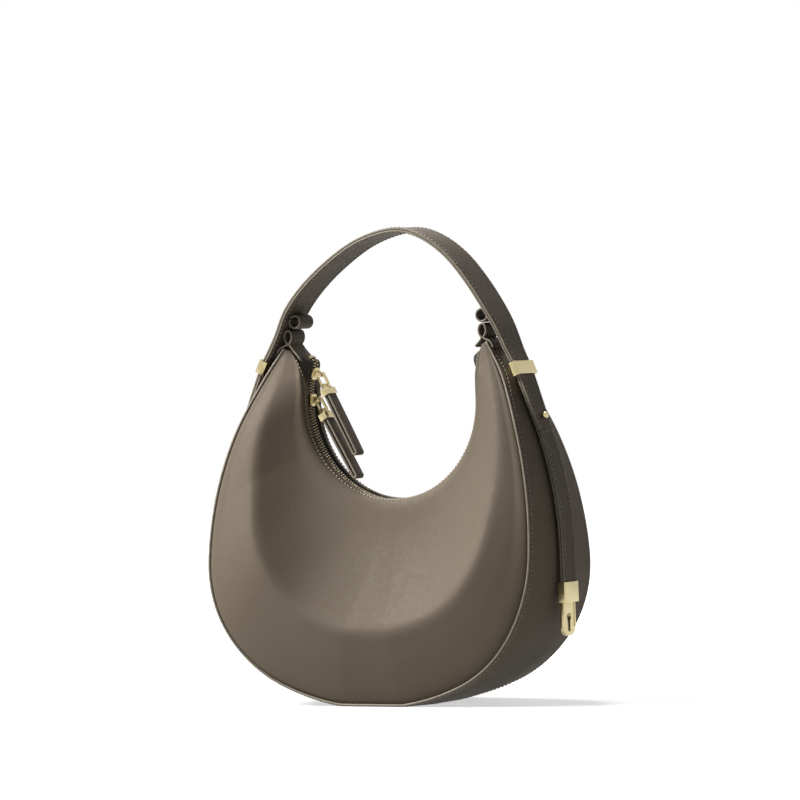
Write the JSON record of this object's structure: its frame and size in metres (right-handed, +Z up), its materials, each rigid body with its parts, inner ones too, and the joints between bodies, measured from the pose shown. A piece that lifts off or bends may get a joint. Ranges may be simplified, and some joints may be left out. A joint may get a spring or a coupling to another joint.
{
  "type": "half moon bag",
  "caption": "Crescent shoulder bag in soft taupe leather with a curved two-way zip, two pulls and a shaped strap with metal keepers and keyhole tips",
  "frame": {"origin": "centre of the bounding box in X and Y, on the flat of the base", "axes": "+X along the bag toward the right horn, +Y from the front panel to the back panel, +Z up"},
  "size_m": [0.277, 0.1094, 0.3314],
  "materials": {
    "panel_leather": "soft grained",
    "gusset_leather": "soft grained",
    "strap_leather": "soft grained with painted edges",
    "trim_leather": "soft grained with painted edges",
    "lining_cloth": "woven",
    "zip_tape": "woven tape",
    "gold_metal": "polished"
  },
  "bodies": {
    "bag": {"front_panel": "panel_leather", "back_panel": "panel_leather", "gusset": "gusset_leather", "front_lining": "lining_cloth", "back_lining": "lining_cloth", "gusset_lining": "lining_cloth", "slip_pocket": "lining_cloth", "front_zip_tape": "zip_tape", "back_zip_tape": "zip_tape", "front_zip_teeth": "gold_metal", "back_zip_teeth": "gold_metal", "zip_stops": "gold_metal", "left_end_tab": "trim_leather", "right_end_tab": "trim_leather", "left_strap_loop": "trim_leather", "right_strap_loop": "trim_leather", "strap": "strap_leather", "strap_lining": "strap_leather", "left_keeper": "gold_metal", "right_keeper": "gold_metal", "keeper_rivets": "gold_metal", "left_stud": "gold_metal", "right_stud": "gold_metal", "stud_screws": "gold_metal"},
    "lower_slider": {"slider_lower": "gold_metal"},
    "upper_slider": {"slider_upper": "gold_metal"},
    "lower_pull": {"pull_link_lower": "gold_metal", "pull_ferrule_lower": "gold_metal", "pull_leather_lower": "trim_leather"},
    "upper_pull": {"pull_link_upper": "gold_metal", "pull_ferrule_upper": "gold_metal", "pull_leather_upper": "trim_leather"},
    "left_strap_tail": {"left_tail": "strap_leather", "left_tail_lining": "strap_leather", "left_tip_clamp": "gold_metal", "left_keyhole_plate": "gold_metal"},
    "right_strap_tail": {"right_tail": "strap_leather", "right_tail_lining": "strap_leather", "right_tip_clamp": "gold_metal", "right_keyhole_plate": "gold_metal"}
  },
  "joints": [
    {"name": "zip_travel", "type": "hinge", "parent": "bag", "child": "lower_slider", "pos_m": [0.0045, 0, 0.2114], "axis": [0, -1, 0], "range_deg": [0, 197]},
    {"name": "zip_travel_upper", "type": "hinge", "parent": "bag", "child": "upper_slider", "pos_m": [0.0045, 0, 0.2114], "axis": [0, -1, 0], "range_deg": [0, 197]},
    {"name": "pull_swing", "type": "hinge", "parent": "lower_slider", "child": "lower_pull", "pos_m": [-0.06049, 0, 0.21253], "axis": [0, -1, 0], "range_deg": [0, 100]},
    {"name": "pull_swing_upper", "type": "hinge", "parent": "upper_slider", "child": "upper_pull", "pos_m": [-0.05782, 0, 0.22986], "axis": [0, -1, 0], "range_deg": [0, 100]},
    {"name": "left_tail_swing", "type": "hinge", "parent": "bag", "child": "left_strap_tail", "pos_m": [-0.1231, 0, 0.18797], "axis": [0, 1, 0], "range_deg": [0, 60]},
    {"name": "right_tail_swing", "type": "hinge", "parent": "bag", "child": "right_strap_tail", "pos_m": [0.1231, 0, 0.18797], "axis": [0, -1, 0], "range_deg": [0, 60]}
  ],
  "couplings": [
    {"joint": "zip_travel_upper", "follows": "zip_travel", "ratio": 1},
    {"joint": "pull_swing_upper", "follows": "pull_swing", "ratio": 1}
  ]
}
